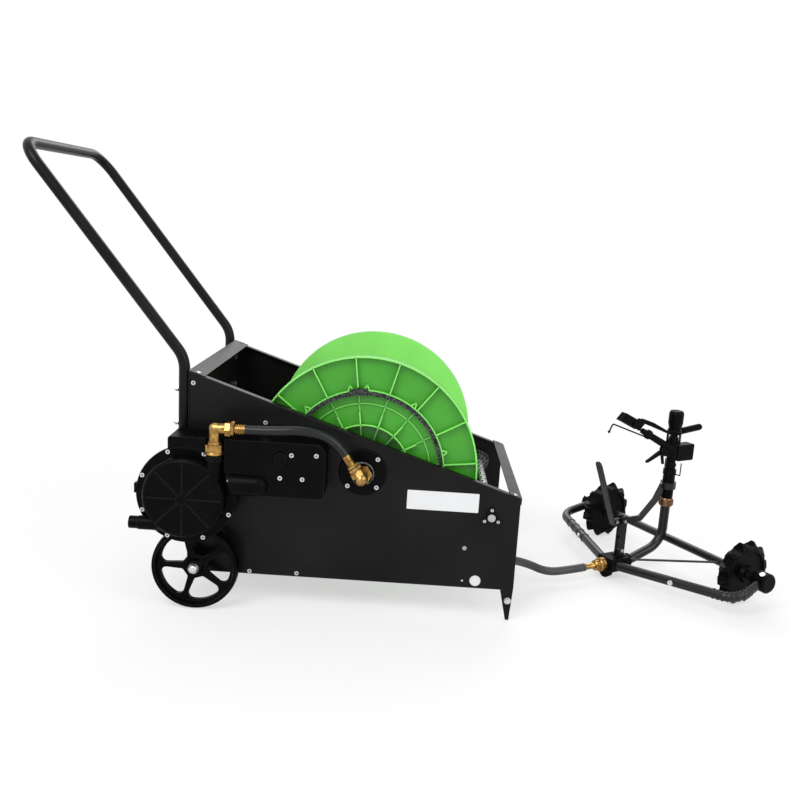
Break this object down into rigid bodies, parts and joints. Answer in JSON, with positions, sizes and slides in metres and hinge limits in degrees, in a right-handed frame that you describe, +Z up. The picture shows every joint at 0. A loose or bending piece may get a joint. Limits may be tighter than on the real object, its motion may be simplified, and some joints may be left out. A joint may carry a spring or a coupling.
{
  "type": "travelling sprinkler",
  "caption": "Hose reel cart with a water turbine drive that winds in a small wheeled trolley carrying an impact sprinkler.",
  "frame": {"origin": "middle of the bounding box at ground level, without the free hose", "axes": "+X forward, where the hose leaves the cart; +Y the cart's left; +Z up"},
  "size_m": [1.8138, 0.825, 1.0345],
  "materials": {
    "black_paint": "satin powder coat",
    "black_tube": "satin powder coat",
    "steel": "satin steel",
    "dark_steel": "oiled steel",
    "zinc": "zinc plated",
    "light_plastic": "smooth white",
    "black_plastic": "fine grained",
    "green_plastic": "satin moulded",
    "brass": "turned and bright",
    "hose": "smooth dark grey"
  },
  "bodies": {
    "cart": {"blank_plate": "light_plastic", "cart_fasteners": "zinc", "cross_tubes": "steel", "feed_hose": "hose", "foot_spikes": "black_paint", "front_top_bar": "black_paint", "gear_cover": "black_plastic", "gear_housing": "black_plastic", "handle_bolts": "zinc", "left_side_panel": "black_paint", "level_wind_chain": "dark_steel", "push_handle": "black_paint", "rear_panel": "black_paint", "reel_bearings": "black_plastic", "right_side_panel": "black_paint", "screw_bearings": "black_plastic", "swivel_elbow": "brass", "towing_hose": "hose", "tube_plugs": "light_plastic", "turbine_cover": "black_plastic", "turbine_elbow": "brass", "turbine_housing": "black_plastic", "wheel_axle": "steel"},
    "right_wheel": {"cart_wheel_right": "black_plastic"},
    "left_wheel": {"cart_wheel_left": "black_plastic"},
    "reel": {"reel_flange_right": "green_plastic", "reel_flange_left": "green_plastic", "reel_core": "green_plastic", "reel_axle": "steel", "ring_chain": "dark_steel", "lower_hose_layers": "hose", "wound_hose": "hose", "reel_sprocket": "dark_steel"},
    "turbine_runner": {"turbine_rotor": "black_plastic", "rotor_shaft": "steel"},
    "pinion_shaft": {"output_shaft": "steel"},
    "level_screw": {"level_wind_screw": "steel", "screw_sprocket": "dark_steel"},
    "guide": {"hose_guide": "black_plastic"},
    "trolley": {"trolley_frame": "black_tube", "trolley_axle": "black_tube", "axle_caps": "black_plastic", "nose_hub": "black_plastic", "hose_coupling": "brass", "riser_pipe": "black_tube", "riser_nut": "brass", "support_post": "black_tube", "riser_stay": "black_tube", "stop_bar": "black_tube", "trolley_screws": "zinc", "sprinkler_base": "black_plastic", "trip_collars": "black_plastic"},
    "trolley_right_wheel": {"trolley_wheel_right": "black_plastic"},
    "trolley_left_wheel": {"trolley_wheel_left": "black_plastic"},
    "sprinkler_head": {"sprinkler_body": "black_plastic", "bonnet": "black_plastic", "arm_spring": "steel"},
    "arm": {"drive_arm": "black_plastic"},
    "lever": {"trip_lever": "black_plastic"}
  },
  "joints": [
    {"name": "right_wheel_spin", "type": "hinge", "parent": "cart", "child": "right_wheel", "pos_m": [-0.49641, -0.33847, 0.1], "axis": [0, 1, 0], "continuous": true},
    {"name": "left_wheel_spin", "type": "hinge", "parent": "cart", "child": "left_wheel", "pos_m": [-0.49641, 0.22153, 0.1], "axis": [0, 1, 0], "continuous": true},
    {"name": "trolley_travel", "type": "slide", "parent": "cart", "child": "trolley", "axis": [0.866, 0.5, 0], "range_m": [-0.22, 0.6], "deforming": ["towing_hose"]},
    {"name": "reel_spin", "type": "hinge", "parent": "cart", "child": "reel", "pos_m": [-0.12541, -0.05847, 0.338], "axis": [0, 1, 0], "continuous": true, "deforming": ["towing_hose"]},
    {"name": "turbine_runner_spin", "type": "hinge", "parent": "cart", "child": "turbine_runner", "pos_m": [-0.51181, -0.36847, 0.279], "axis": [0, 1, 0], "continuous": true},
    {"name": "pinion_shaft_spin", "type": "hinge", "parent": "cart", "child": "pinion_shaft", "pos_m": [-0.278, -0.28047, 0.37323], "axis": [0, 1, 0], "continuous": true},
    {"name": "level_screw_spin", "type": "hinge", "parent": "cart", "child": "level_screw", "pos_m": [0.17359, -0.05847, 0.25], "axis": [0, 1, 0], "continuous": true},
    {"name": "guide_travel", "type": "slide", "parent": "cart", "child": "guide", "axis": [0, 1, 0], "range_m": [-0.085, 0.31], "deforming": ["towing_hose"]},
    {"name": "trolley_right_wheel_spin", "type": "hinge", "parent": "trolley", "child": "trolley_right_wheel", "pos_m": [0.83484, -0.11461, 0.08114], "axis": [0.5, -0.866, 0], "continuous": true},
    {"name": "trolley_left_wheel_spin", "type": "hinge", "parent": "trolley", "child": "trolley_left_wheel", "pos_m": [0.57834, 0.32966, 0.08114], "axis": [0.5, -0.866, 0], "continuous": true},
    {"name": "sprinkler_rotation", "type": "hinge", "parent": "trolley", "child": "sprinkler_head", "pos_m": [0.68581, 0.09553, 0.26], "axis": [0, 0, 1], "range_deg": [-100, 100]},
    {"name": "drive_arm_swing", "type": "hinge", "parent": "sprinkler_head", "child": "arm", "pos_m": [0.68581, 0.09553, 0.38], "axis": [0, 0, 1], "range_deg": [0, 60], "stiffness_Nm_per_rad": 0.03, "springref_deg": -17.19},
    {"name": "trip_lever_tilt", "type": "hinge", "parent": "sprinkler_head", "child": "lever", "pos_m": [0.6529, 0.07653, 0.332], "axis": [0.5, -0.866, 0], "range_deg": [-10, 0]}
  ],
  "couplings": [
    {"joint": "reel_spin", "follows": "trolley_travel", "rad_per_m": -5.787},
    {"joint": "pinion_shaft_spin", "follows": "trolley_travel", "rad_per_m": -53.241},
    {"joint": "level_screw_spin", "follows": "trolley_travel", "rad_per_m": -5.787}
  ]
}
